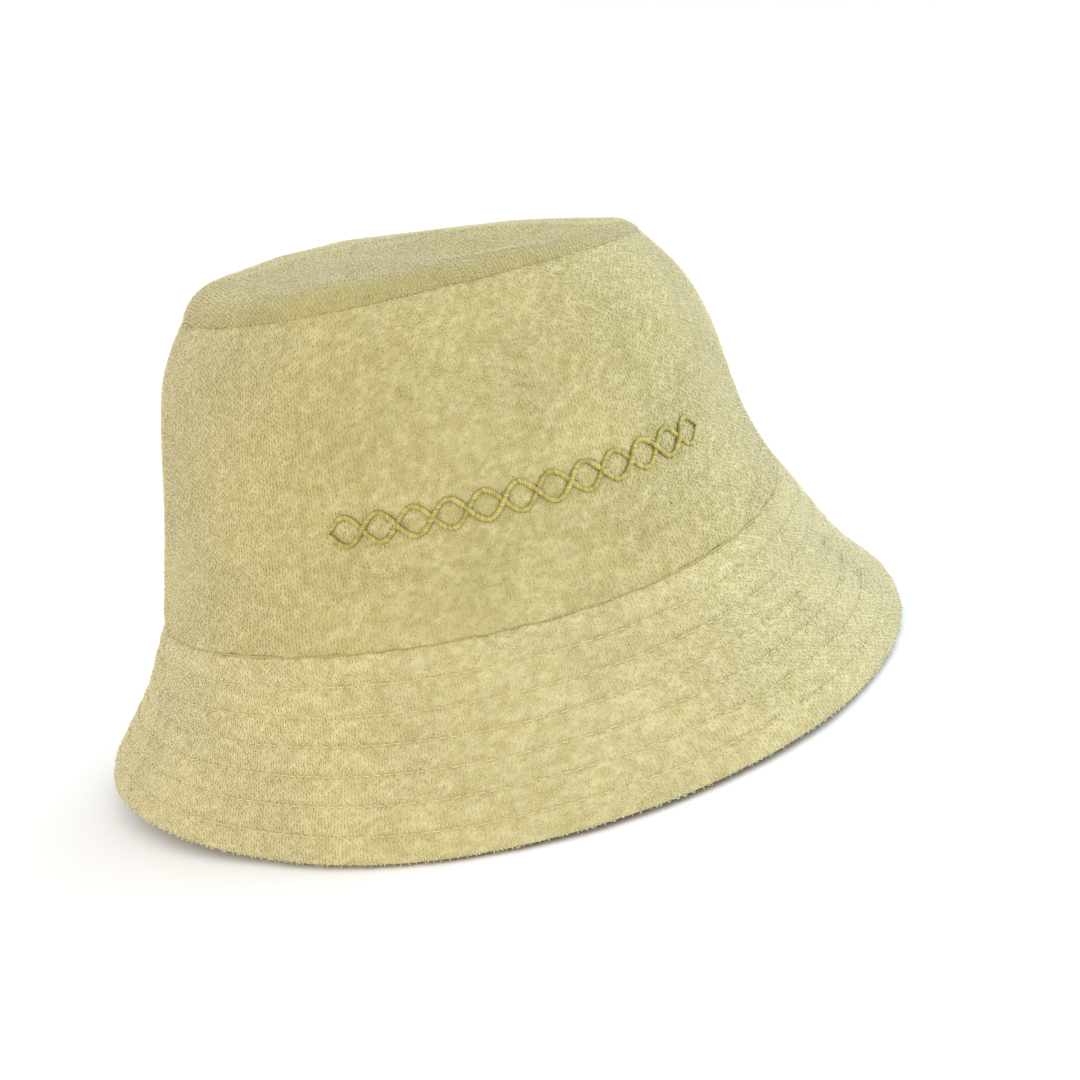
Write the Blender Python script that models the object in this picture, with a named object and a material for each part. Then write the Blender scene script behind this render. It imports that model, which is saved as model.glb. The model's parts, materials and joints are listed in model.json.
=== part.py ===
"""A child's lined bucket hat in terry towelling, with a stitched brim.

Metres, +Z up. The hat stands on its brim edge at z = 0 and its front faces -Y. The origin is
under the middle of the brim's outline. Every cloth layer is cut from one outer surface: the
distance that a layer lies inside it is called its depth.
"""

import math

import bmesh
import bpy
import numpy as np
from mathutils import Vector

# Outline of the hat, as half axes of ovals and heights
BASE_HALF_WIDTH = 0.080
BASE_HALF_LENGTH = 0.0927
TIP_HALF_WIDTH = 0.0565
TIP_HALF_LENGTH = 0.0720
TIP_LEAN_BACK = 0.0080
WALL_HEIGHT = 0.0675
WALL_BULGE = 0.0021
WALL_BELL = 0.0026
TIP_CORNER = 0.0065
TIP_DOME = 0.0108
BRIM_DROP = 0.0380
BRIM_FLARE = 0.0205

# Cloth, thread and the gap kept between pieces that touch
TERRY = 0.0018
INTERLINING = 0.0006
LINING = 0.0005
SWEATBAND = 0.0010
BACKING = 0.0004
THREAD = 0.0005
GAP = 0.0003

# Trim
SWEATBAND_HEIGHT = 0.030
SEAM_ALLOWANCE = 0.0080
BRIM_STITCH_ROWS = 6
INTERLINING_MARGIN = 0.0040
WAVE_LIFT = 0.0245
WAVE_HALF_ANGLE = math.radians(37.5)
WAVE_AMPLITUDE = 0.0029
WAVE_WIDTH = 0.0012
WAVE_THICKNESS = 0.0006
WAVE_REPEATS = 6
CARE_LABEL = (0.018, 0.025)
SIZE_LABEL = (0.012, 0.014)
LABEL_THICKNESS = 0.0004
LABEL_SPREAD = 0.0110

# How finely the ovals are drawn
SEGMENTS = 48
WALL_STEPS = 6
BRIM_STEPS = 2
CORNER_STEPS = 3
DOME_STEPS = 3
WAVE_STEPS = 8

FRONT = -math.pi / 2
BACK = math.pi / 2
BASE_Z = BRIM_DROP
TIP_Z = BASE_Z + WALL_HEIGHT
BRIM_STRETCH = math.hypot(BRIM_DROP, BRIM_FLARE) / BRIM_DROP
SEAM_HALF_GAP = GAP + THREAD / 2
LINING_DEPTH = TERRY + GAP + BACKING + GAP
BAND_DEPTH = LINING_DEPTH + LINING + GAP
BRIM_THICKNESS = TERRY + GAP + INTERLINING + GAP + TERRY
PUSH_CLEARANCE = 0.0015


def wall_oval(angle, share, depth):
    """Points of the crown side at a share of its height, moved in by depth along the normal.

    The oval narrows towards the tip and leans back, with a bulge and a bell-shaped sweep added.
    """
    half_width = BASE_HALF_WIDTH + (TIP_HALF_WIDTH - BASE_HALF_WIDTH) * share
    half_length = BASE_HALF_LENGTH + (TIP_HALF_LENGTH - BASE_HALF_LENGTH) * share
    out = WALL_BULGE * math.sin(math.pi * share) - WALL_BELL * math.sin(2 * math.pi * share)
    points = moved_oval(angle, half_width, half_length, out - depth)
    points[:, 1] += TIP_LEAN_BACK * share**1.5
    points[:, 2] = BASE_Z + WALL_HEIGHT * share
    return points


def moved_oval(angle, half_width, half_length, move):
    """Points of an oval, each moved out along the oval's normal."""
    across, along = np.cos(angle), np.sin(angle)
    steepness = np.hypot(across / half_width, along / half_length)
    x = half_width * across + move / steepness * across / half_width
    y = half_length * along + move / steepness * along / half_length
    return np.stack([x, y, np.zeros_like(x)], axis=-1)


def outline(angle, z, depth):
    """Points of the hat's surface at height z, moved in by depth.

    The crown side runs straight between the heights in wall_levels, so that layers nest. Below
    the base seam the base oval is widened evenly to make the brim.
    """
    step = (z - BASE_Z) / WALL_HEIGHT * WALL_STEPS
    if step < 0:
        out = BRIM_FLARE * (BASE_Z - z) / BRIM_DROP
        points = moved_oval(angle, BASE_HALF_WIDTH, BASE_HALF_LENGTH, out - depth)
        points[:, 2] = z
        return points
    lower = min(int(step), WALL_STEPS - 1)
    below = wall_oval(angle, lower / WALL_STEPS, depth)
    above = wall_oval(angle, (lower + 1) / WALL_STEPS, depth)
    return below + (above - below) * (step - lower)


def wall_levels(low, high):
    """The two heights given and the heights between them at which the crown side bends."""
    bends = BASE_Z + WALL_HEIGHT * np.arange(1, WALL_STEPS) / WALL_STEPS
    clear = THREAD / 2
    inside = [z for z in bends if low + clear < z < high - clear]
    return [low, *inside, high]


def cap_point_rows(angle, depth):
    """Rows of the tip panel at this depth: an upright rim, a rounded corner and a low dome."""
    rim_z = TIP_Z - SEAM_ALLOWANCE
    corner = TIP_CORNER - depth
    start = TERRY + GAP + depth
    rows = [outline(angle, TIP_Z, start)]
    rows[0][:, 2] = rim_z
    for turn in np.linspace(0, math.radians(80), CORNER_STEPS + 1):
        row = outline(angle, TIP_Z, start + corner * (1 - math.cos(turn)))
        row[:, 2] = TIP_Z + corner * math.sin(turn)
        rows.append(row)
    centre = np.array([0.0, TIP_LEAN_BACK])
    edge = rows[-1]
    rise = TIP_DOME - depth - (edge[0, 2] - TIP_Z)
    for share in np.linspace(0, 1, DOME_STEPS + 1)[1:-1]:
        row = edge.copy()
        row[:, :2] = centre + (edge[:, :2] - centre) * (1 - share)
        row[:, 2] += rise * (1 - (1 - share) ** 2)
        rows.append(row)
    pole = np.array([0.0, TIP_LEAN_BACK, TIP_Z + TIP_DOME - depth])
    return rows, pole


def finish(name, mesh_data, colour, roughness, at=(0, 0, 0)):
    """A named object from the bmesh, with its own material and its origin at the given point."""
    bmesh.ops.recalc_face_normals(mesh_data, faces=mesh_data.faces)
    bmesh.ops.translate(mesh_data, verts=mesh_data.verts, vec=-Vector(at))
    mesh = bpy.data.meshes.new(name)
    mesh_data.to_mesh(mesh)
    mesh_data.free()
    mesh.shade_smooth()
    mesh.set_sharp_from_angle(angle=math.radians(35))
    material = bpy.data.materials.new(name)
    material.use_nodes = True
    shader = material.node_tree.nodes["Principled BSDF"]
    shader.inputs["Base Color"].default_value = (*colour, 1)
    shader.inputs["Roughness"].default_value = roughness
    shader.inputs["Metallic"].default_value = 0
    mesh.materials.append(material)
    piece = bpy.data.objects.new(name, mesh)
    piece.location = at
    bpy.context.scene.collection.objects.link(piece)
    return piece


def swept(sections, closed):
    """A bmesh of profile loops joined in order, either all round or with an end cap on each end.

    Each loop lists its outer points and then its inner points in the same order.
    """
    shape = bmesh.new()
    loops = [[shape.verts.new(point) for point in section] for section in sections]
    pairs = list(zip(loops, loops[1:] + loops[:1] if closed else loops[1:]))
    for first, second in pairs:
        count = len(first)
        half = count // 2
        order = list(range(half)) + list(range(count - 1, half - 1, -1))
        for here, there in zip(order, order[1:] + order[:1]):
            shape.faces.new([first[here], first[there], second[there], second[here]])
    if not closed:
        for loop in (loops[0], loops[-1]):
            half = len(loop) // 2
            for i in range(half - 1):
                shape.faces.new([loop[i], loop[i + 1], loop[half + i + 1], loop[half + i]])
    return shape


def layer(heights, outer_depth, inner_depth, start=None, end=None, segments=SEGMENTS // 2):
    """A cloth layer between two depths, over the heights given and round the angles given."""
    closed = start is None
    if closed:
        angle = np.linspace(0, 2 * math.pi, SEGMENTS + 1)[:-1]
    else:
        angle = np.linspace(start, end, segments + 1)
    outer = [outline(angle, z, outer_depth) for z in heights]
    inner = [outline(angle, z, inner_depth) for z in heights]
    sections = np.stack(outer + inner, axis=1)
    return swept(sections, closed)


def half_span(is_front, half_gap):
    """The start and end angle of a front or rear half, clear of the side seams."""
    trim = math.asin(half_gap / (BASE_HALF_LENGTH / 2 + TIP_HALF_LENGTH / 2))
    if is_front:
        return math.pi + trim, 2 * math.pi - trim
    return trim, math.pi - trim


def cap(outer_depth, inner_depth):
    """A tip panel: two nested surfaces that meet along the lower edge of the rim."""
    angle = np.linspace(0, 2 * math.pi, SEGMENTS + 1)[:-1]
    shape = bmesh.new()
    rims = []
    for depth in (outer_depth, inner_depth):
        rows, pole = cap_point_rows(angle, depth)
        rings = [[shape.verts.new(point) for point in row] for row in rows]
        top = shape.verts.new(pole)
        for lower, upper in zip(rings, rings[1:]):
            for i in range(SEGMENTS):
                j = (i + 1) % SEGMENTS
                shape.faces.new([lower[i], lower[j], upper[j], upper[i]])
        for i in range(SEGMENTS):
            shape.faces.new([rings[-1][i], rings[-1][(i + 1) % SEGMENTS], top])
        rims.append(rings[0])
    for i in range(SEGMENTS):
        j = (i + 1) % SEGMENTS
        shape.faces.new([rims[0][i], rims[0][j], rims[1][j], rims[1][i]])
    return shape


def wave(phase_sign, crosses_over):
    """One strand of a two-strand twist on the front: a flat ribbon that follows a sine wave.

    The upper strand rises over the lower one wherever the two cross.
    """
    steps = WAVE_REPEATS * WAVE_STEPS
    turn = np.linspace(0, 2 * math.pi * WAVE_REPEATS, steps + 1)
    angle = FRONT + WAVE_HALF_ANGLE * (turn / turn[-1] * 2 - 1)
    height = BASE_Z + WAVE_LIFT
    lengths = np.linalg.norm(np.diff(outline(angle, height, 0.0), axis=0), axis=1)
    run = np.concatenate([[0], np.cumsum(lengths)])
    rise = phase_sign * WAVE_AMPLITUDE * np.sin(turn)
    slope_run = np.gradient(run)
    slope_rise = phase_sign * WAVE_AMPLITUDE * np.cos(turn) * (turn[1] - turn[0])
    slope = np.hypot(slope_run, slope_rise)
    side_angle = -slope_rise / slope * WAVE_WIDTH / 2 * np.gradient(angle) / slope_run
    side_rise = slope_run / slope * WAVE_WIDTH / 2
    over = 2 * (WAVE_THICKNESS + GAP) * np.cos(turn) ** 2 if crosses_over else 0 * turn
    sections = []
    for i in range(steps + 1):
        section = []
        for depth in (-GAP - WAVE_THICKNESS - over[i], -GAP - over[i]):
            for side in (1, -1):
                here = np.array([angle[i] + side * side_angle[i]])
                z = height + rise[i] + side * side_rise[i]
                section.append(outline(here, z, depth)[0])
        sections.append(section)
    return swept(sections, closed=False)


def label(name, size, centre_angle, colour):
    """A woven tab that hangs from its top edge at the base seam, square to the cloth there."""
    width, drop = size
    angle = np.array([centre_angle])
    seat_depth = max(BAND_DEPTH + SWEATBAND, BRIM_THICKNESS * BRIM_STRETCH)
    seat = outline(angle, BASE_Z, seat_depth)[0]
    inward = Vector(seat - outline(angle, BASE_Z, 0.0)[0]).normalized()
    sagitta = width**2 / (8 * BASE_HALF_WIDTH**2 / BASE_HALF_LENGTH)
    hinge = Vector(seat) + inward * (sagitta + GAP + LABEL_THICKNESS)
    shape = bmesh.new()
    bmesh.ops.create_cube(shape, size=1)
    bmesh.ops.scale(shape, verts=shape.verts, vec=(width, LABEL_THICKNESS, drop))
    bmesh.ops.translate(shape, verts=shape.verts, vec=(0, 0, -drop / 2))
    piece = finish(name, shape, colour, 0.6)
    piece.location = hinge
    piece.rotation_euler.z = math.atan2(inward.x, -inward.y)
    return piece


for old in list(bpy.data.objects):
    bpy.data.objects.remove(old)

TERRY_COLOUR = (0.62, 0.55, 0.27)
COTTON_COLOUR = (0.72, 0.68, 0.50)
THREAD_COLOUR = (0.60, 0.52, 0.22)
WAVE_COLOUR = (0.47, 0.41, 0.11)
WHITE_COLOUR = (0.80, 0.80, 0.77)

# Crown side: front and rear terry panels and their lining, between the base and tip seams
wall_heights = wall_levels(BASE_Z + SEAM_HALF_GAP, TIP_Z)
lining_top_z = TIP_Z - SEAM_ALLOWANCE - PUSH_CLEARANCE
lining_heights = wall_levels(BASE_Z + SEAM_HALF_GAP, lining_top_z)
for half in ("front", "back"):
    span = half_span(half == "front", SEAM_HALF_GAP)
    finish(f"crown_{half}", layer(wall_heights, 0, TERRY, *span), TERRY_COLOUR, 0.95)
    lining_span = half_span(half == "front", GAP / 2)
    lining = layer(lining_heights, LINING_DEPTH, LINING_DEPTH + LINING, *lining_span)
    finish(f"lining_{half}", lining, COTTON_COLOUR, 0.85)

# Side seams: a thread line up each side of the crown, between the two panels
for side, middle in (("right", 0.0), ("left", math.pi)):
    half = THREAD / 2 / BASE_HALF_LENGTH
    seam = layer(wall_heights, GAP, TERRY - GAP, middle - half, middle + half, segments=1)
    finish(f"side_seam_thread_{side}", seam, THREAD_COLOUR, 0.7)

# Tip: the terry cap, its lining and the thread line through the turned-down seam allowance
push_origin = (0, TIP_LEAN_BACK, TIP_Z)
crown_push = bpy.data.objects.new("crown_push_axis", None)
crown_push.location = push_origin
bpy.context.scene.collection.objects.link(crown_push)
tip_lining_depth = TERRY + GAP + THREAD + GAP
seam_z = TIP_Z - SEAM_ALLOWANCE / 2
seam_angle = np.linspace(0, 2 * math.pi, SEGMENTS + 1)[:-1]
seam_rows = []
for seam_depth in (2 * TERRY + 2 * GAP, 2 * TERRY + 2 * GAP + THREAD):
    for seam_height in (seam_z - THREAD / 2, seam_z + THREAD / 2):
        row = outline(seam_angle, TIP_Z, seam_depth)
        row[:, 2] = seam_height
        seam_rows.append(row)
tip_pieces = [
    finish("crown_top", cap(0, TERRY), TERRY_COLOUR, 0.95, push_origin),
    finish(
        "lining_top",
        cap(tip_lining_depth, tip_lining_depth + LINING),
        COTTON_COLOUR,
        0.85,
        push_origin,
    ),
    finish(
        "tip_seam_thread",
        swept(np.stack(seam_rows, axis=1), closed=True),
        THREAD_COLOUR,
        0.7,
        push_origin,
    ),
]
bpy.context.view_layer.update()
for piece in tip_pieces:
    piece.parent = crown_push
    piece.location = (0, 0, 0)

# Base seam: the thread line in the groove between crown and brim
base_heights = [BASE_Z - THREAD / 2, BASE_Z + THREAD / 2]
finish("base_seam_thread", layer(base_heights, GAP, TERRY - GAP), THREAD_COLOUR, 0.7)

# Brim: outer cloth, interlining and under cloth, all cut level at the edge the hat stands on
brim_heights = np.linspace(0, BASE_Z - SEAM_HALF_GAP, BRIM_STEPS + 1)
outer_cloth = (0.0, TERRY * BRIM_STRETCH)
stiffener = tuple((TERRY + GAP + t) * BRIM_STRETCH for t in (0, INTERLINING))
under_start = BRIM_THICKNESS - TERRY
under_cloth = tuple((under_start + t) * BRIM_STRETCH for t in (0, TERRY))
for half in ("front", "back"):
    span = half_span(half == "front", GAP / 2)
    upper = layer(brim_heights, *outer_cloth, *span)
    finish(f"brim_upper_{half}", upper, TERRY_COLOUR, 0.95)
    under = layer(brim_heights, *under_cloth, *span)
    finish(f"brim_under_{half}", under, TERRY_COLOUR, 0.95)
stiffener_heights = np.linspace(INTERLINING_MARGIN, BASE_Z - SEAM_HALF_GAP, BRIM_STEPS + 1)
finish("brim_interlining", layer(stiffener_heights, *stiffener), WHITE_COLOUR, 0.9)

# Brim topstitching: evenly spaced rows of thread on the outer cloth
for row_number in range(1, BRIM_STITCH_ROWS + 1):
    row_z = BASE_Z - BRIM_DROP * row_number / (BRIM_STITCH_ROWS + 1)
    row_heights = [row_z - THREAD / 2, row_z + THREAD / 2]
    row_thread = layer(row_heights, -GAP * BRIM_STRETCH - THREAD, -GAP * BRIM_STRETCH)
    finish(f"brim_stitch_row_{row_number}", row_thread, THREAD_COLOUR, 0.7)

# Sweatband: a folded cotton band inside the base seam, and the thread row along its top
band_top = BASE_Z + SWEATBAND_HEIGHT
band_heights = wall_levels(BASE_Z + SEAM_HALF_GAP, band_top)
band = layer(band_heights, BAND_DEPTH, BAND_DEPTH + SWEATBAND)
finish("sweatband", band, COTTON_COLOUR, 0.85)
band_row_z = band_top - 5 * THREAD
band_row_heights = [band_row_z - THREAD / 2, band_row_z + THREAD / 2]
band_row_depth = BAND_DEPTH + SWEATBAND + GAP
band_row = layer(band_row_heights, band_row_depth, band_row_depth + THREAD)
finish("sweatband_stitch", band_row, THREAD_COLOUR, 0.7)

# Embroidery: a two-strand twist across the front, and the backing sheet behind it
finish("embroidery_strand_lower", wave(1, crosses_over=False), WAVE_COLOUR, 0.45)
finish("embroidery_strand_upper", wave(-1, crosses_over=True), WAVE_COLOUR, 0.45)
backing_half_angle = WAVE_HALF_ANGLE * 1.06
backing_reach = 3 * WAVE_AMPLITUDE
backing_middle = BASE_Z + WAVE_LIFT
backing_heights = wall_levels(backing_middle - backing_reach, backing_middle + backing_reach)
backing = layer(
    backing_heights,
    TERRY + GAP,
    TERRY + GAP + BACKING,
    FRONT - backing_half_angle,
    FRONT + backing_half_angle,
    segments=12,
)
finish("embroidery_backing", backing, WHITE_COLOUR, 0.9)

# Labels: two plain woven tabs caught in the base seam at the back
for name, size, side in (("care_label", CARE_LABEL, -1), ("size_label", SIZE_LABEL, 1)):
    label_angle = BACK - side * LABEL_SPREAD / BASE_HALF_WIDTH
    label(name, size, label_angle, WHITE_COLOUR)
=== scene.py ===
import json
import math

import bpy
import numpy as np
from mathutils import Matrix, Vector


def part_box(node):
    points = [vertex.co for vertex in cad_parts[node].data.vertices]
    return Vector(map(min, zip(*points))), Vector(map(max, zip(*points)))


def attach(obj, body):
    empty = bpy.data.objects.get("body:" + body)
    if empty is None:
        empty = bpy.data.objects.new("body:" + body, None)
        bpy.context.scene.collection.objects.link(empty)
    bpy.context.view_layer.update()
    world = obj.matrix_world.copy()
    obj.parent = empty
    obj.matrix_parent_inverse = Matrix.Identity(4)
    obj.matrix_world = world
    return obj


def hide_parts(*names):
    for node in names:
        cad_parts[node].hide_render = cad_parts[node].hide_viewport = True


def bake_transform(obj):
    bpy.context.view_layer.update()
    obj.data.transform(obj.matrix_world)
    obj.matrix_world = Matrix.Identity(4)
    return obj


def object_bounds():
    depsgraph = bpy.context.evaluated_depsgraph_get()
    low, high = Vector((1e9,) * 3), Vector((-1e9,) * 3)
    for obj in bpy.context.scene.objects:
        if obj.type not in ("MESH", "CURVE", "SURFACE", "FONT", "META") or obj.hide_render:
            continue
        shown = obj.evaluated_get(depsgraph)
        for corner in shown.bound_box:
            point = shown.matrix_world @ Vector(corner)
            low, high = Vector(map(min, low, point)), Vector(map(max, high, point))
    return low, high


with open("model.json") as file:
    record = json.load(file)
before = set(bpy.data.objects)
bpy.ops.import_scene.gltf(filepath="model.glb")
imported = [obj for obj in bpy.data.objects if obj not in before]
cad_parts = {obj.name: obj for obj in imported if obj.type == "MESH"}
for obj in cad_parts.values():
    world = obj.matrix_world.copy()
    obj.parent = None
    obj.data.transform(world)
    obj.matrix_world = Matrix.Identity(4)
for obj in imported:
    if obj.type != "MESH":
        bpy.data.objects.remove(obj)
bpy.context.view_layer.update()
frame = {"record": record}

# Crown side, front and rear panel.
# Cotton terry towelling, knitted with loops about 1 mm apart. The two panels are cut as shallow
# arcs, sewn up the sides of the head, and turned so that each edge rolls into its seam.
MM = 0.001
TURN = 2 * math.pi
SEAM_INSET = 0.3 * MM
seam_low, seam_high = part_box("base_seam_thread")
BASE_HALF_WIDTH = seam_high.x + SEAM_INSET
BASE_HALF_LENGTH = seam_high.y + SEAM_INSET
TIP_HALF_WIDTH = 58.4 * MM
TIP_HALF_LENGTH = 72.2 * MM
TIP_MIDDLE = (5.2 * MM, 7.1 * MM)  # the tip sits askew over the base
SEAM_LIFT = 4.4 * MM  # the brim droops at front and rear, and stands there
SEAM_Z = (seam_low.z + seam_high.z) / 2 + SEAM_LIFT
WALL_HEIGHT = 66.8 * MM
WALL_SLANT = 69.0 * MM
TERRY = 1.8 * MM
PILE = 0.45 * MM  # how high the loops stand over the knitted ground
BACK_TONE = 0.3  # the plain back of the cloth, between the ground's olive and the loops' tops
FRONT = -math.pi / 2
EMBROIDERY_LIFT = 24.3 * MM
EMBROIDERY_HALF_ANGLE = math.radians(37.2)
EMBROIDERY_WAVE = 2.9 * MM
EMBROIDERY_REPEATS = 6
EMBROIDERY_WIDTH = 1.15 * MM


def lumps(angle, up, cells, height, seed):
    """Smooth random heights from -1 to 1, that meet after one turn round the hat.

    Random values stand on a lattice with this many cells round the hat and cells of this height,
    and smoothstep curves join them.
    """
    values = np.random.default_rng(seed).uniform(-1, 1, (cells, 61))
    across, along = np.broadcast_arrays(angle / TURN * cells, up / height + 7)
    column, row = np.floor(across).astype(int), np.floor(along).astype(int)
    x, y = across - column, along - row
    x, y = x * x * (3 - 2 * x), y * y * (3 - 2 * y)
    left, right = column % cells, (column + 1) % cells
    low, high = row % 61, (row + 1) % 61
    below = values[left, low] * (1 - x) + values[right, low] * x
    above = values[left, high] * (1 - x) + values[right, high] * x
    return below * (1 - y) + above * y


def waves(angle, mean, *pairs):
    """A length that varies round the hat, from amounts in millimetres: its mean, then the cosine
    and sine amounts of one, two and three waves a turn."""
    total = mean
    for turns, (cosine, sine) in enumerate(pairs, 1):
        total = total + cosine * np.cos(turns * angle) + sine * np.sin(turns * angle)
    return total * MM


def bell(distance, width, power=2):
    """1 at a place and less on both sides of it: e to the power -(distance / width) ^ power."""
    return np.exp(-((distance / width) ** power))


def angle_from(angle, middle):
    """The angle from a direction, up to half a turn either way."""
    return np.mod(angle - middle + math.pi, TURN) - math.pi


def seam_notch(angle, share):
    """How far soft cloth sinks in beside the base seam, at the left and at the right."""
    left = 1.9 * ((1 - np.cos(angle)) / 2) ** 4
    right = 2.0 * bell(angle_from(angle, 0.2), 0.5)
    return (left + right) * bell(share, 0.2) * MM


def seam_sway(angle):
    """How far the base seam rises and falls round the hat."""
    return waves(angle, 0, (0, 0), (1.6, 1.7))


def oval(angle, half_width, half_length, move):
    """x and y of an oval, each point moved out along the oval's normal."""
    across, along = np.cos(angle), np.sin(angle)
    steepness = np.hypot(across / half_width, along / half_length)
    x = half_width * across + move / steepness * across / half_width
    y = half_length * along + move / steepness * along / half_length
    return x, y


def crown_side(angle, share, depth=0.0):
    """The crown side at a share of its height, at a depth inside the outer cloth.

    An oval that narrows from the base seam to the tip seam and leans a little, with a bulge, a
    bell-shaped sweep, a tip that sits askew, and the low lumps of soft cloth.
    """
    half_width = BASE_HALF_WIDTH + (TIP_HALF_WIDTH - BASE_HALF_WIDTH) * share
    half_length = BASE_HALF_LENGTH + (TIP_HALF_LENGTH - BASE_HALF_LENGTH) * share
    bulge = waves(angle, 1.3, (2.1, 0.3), (0.1, 0.5)) * np.sin(math.pi * share)
    sweep = waves(angle, -2.0, (-0.8, -0.2), (0.1, 0.0)) * np.sin(TURN * share)
    soft = np.sin(math.pi * np.clip(share, 0, 1)) ** 0.7
    slack = soft * (
        0.5 * MM * lumps(angle, share * WALL_HEIGHT, 16, 24 * MM, 11)
        + 0.22 * MM * lumps(angle, share * WALL_HEIGHT, 40, 11 * MM, 12)
    )
    near_tip = np.clip((share - 0.78) / 0.22, 0, 1.05) ** 2
    shoulder = waves(angle, -1.8, (1.9, 0.2)) * near_tip
    move = bulge + sweep + slack + shoulder - seam_notch(angle, share)
    x, y = oval(angle, half_width, half_length, move - depth)
    lean = np.clip(share, 0, None) ** 1.5
    x, y = x + TIP_MIDDLE[0] * lean, y + TIP_MIDDLE[1] * lean
    tilt = waves(angle, 0, (-4.6, -1.2), (-0.6, -0.7))
    z = SEAM_Z + (WALL_HEIGHT + tilt) * share + seam_sway(angle) * (1 - share)
    return np.stack(np.broadcast_arrays(x, y, z), axis=-1)


def rolled_rows(length, low_roll, high_roll, step):
    """Rows of a cloth face from its lower to its upper edge: place along it, and depth.

    Each edge curls in on a quarter circle of its roll's radius, with rows between at this step.
    """
    turn = np.linspace(math.pi / 2, 0, 5)[:-1]
    low_run, low_dip = low_roll * (1 - np.sin(turn)), low_roll * (1 - np.cos(turn))
    high_run, high_dip = high_roll * (1 - np.sin(turn)), high_roll * (1 - np.cos(turn))
    count = 2 * int((length - low_roll - high_roll) / step / 2) + 1
    middle = np.linspace(low_roll, length - high_roll, count)
    run = np.concatenate([low_run, middle, (length - high_run)[::-1]])
    dip = np.concatenate([low_dip, np.zeros(count), high_dip[::-1]])
    return run, dip


def edge_roll(distance, radius):
    """Depth of a cloth face at this distance from its edge, on a quarter circle."""
    inside = np.clip(1 - distance / radius, 0, 1)
    return radius * (1 - np.sqrt(1 - inside**2))


def unit(vectors):
    """Vectors of length one in the same directions."""
    return vectors / np.linalg.norm(vectors, axis=-1, keepdims=True)


def side_dip(angle):
    """Depth to which a half panel rolls in beside the side seams."""
    distance = np.abs(np.mod(angle + math.pi / 2, math.pi) - math.pi / 2) * 85 * MM
    return edge_roll(distance + 0.05 * MM, 0.7 * MM)


def grid_faces(rows, columns, closed_rows=False, closed_columns=False):
    """Quads of a grid of points and their bake map. They face out when rows run upwards and
    columns run counter-clockwise round the hat."""
    row = np.arange(rows if closed_rows else rows - 1)
    column = np.arange(columns if closed_columns else columns - 1)
    i, j = (k.ravel() for k in np.meshgrid(row, column, indexing="ij"))
    above, beside = (i + 1) % rows, (j + 1) % columns
    here, over = i * columns, above * columns
    quads = np.stack([here + j, here + beside, over + beside, over + j], axis=-1)
    u = (j[:, None] + np.array([0, 1, 1, 0])) / len(column)
    v = (i[:, None] + np.array([0, 0, 1, 1])) / len(row)
    return quads, np.stack([u, v], axis=-1)


def new_piece(name, points, quads, quad_map, triangles=None, values=None, weave=None):
    """A mesh piece at the origin, from its points, quads, triangles and point values.

    quad_map is the bake map of the quads, and weave an optional map in metres of cloth.
    """
    mesh = bpy.data.meshes.new(name)
    triangles = np.zeros((0, 3), int) if triangles is None else triangles
    corners = np.concatenate([quads.ravel(), triangles.ravel()])
    sizes = np.concatenate([np.full(len(quads), 4), np.full(len(triangles), 3)])
    mesh.vertices.add(len(points))
    mesh.vertices.foreach_set("co", points.astype(np.float32).ravel())
    mesh.loops.add(len(corners))
    mesh.loops.foreach_set("vertex_index", corners.astype(np.int32))
    mesh.polygons.add(len(sizes))
    mesh.polygons.foreach_set("loop_start", (np.cumsum(sizes) - sizes).astype(np.int32))
    mesh.polygons.foreach_set("use_smooth", np.ones(len(sizes), bool))
    mesh.update(calc_edges=True)
    spare = np.tile(np.array([[0.0, 0.0], [0.001, 0.0], [0.0, 0.001]]), (len(triangles), 1))
    bake = np.concatenate([quad_map.reshape(-1, 2) * 0.99 + 0.005, spare])
    mesh.uv_layers.new(name="OFBake").data.foreach_set("uv", bake.astype(np.float32).ravel())
    if weave is not None:
        cloth = np.concatenate([weave.reshape(-1, 2), np.zeros((3 * len(triangles), 2))])
        mesh.uv_layers.new(name="Weave").data.foreach_set("uv", cloth.astype(np.float32).ravel())
    for key, value in (values or {}).items():
        mesh.attributes.new(key, "FLOAT", "POINT").data.foreach_set(
            "value", value.astype(np.float32).ravel()
        )
    piece = bpy.data.objects.new(name, mesh)
    bpy.context.scene.collection.objects.link(piece)
    return piece


# the small corner of the bake map that a face takes which nobody sees
HIDDEN_CORNER = np.array([[0, 0], [0.002, 0], [0.002, 0.002], [0, 0.002]])


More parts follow.
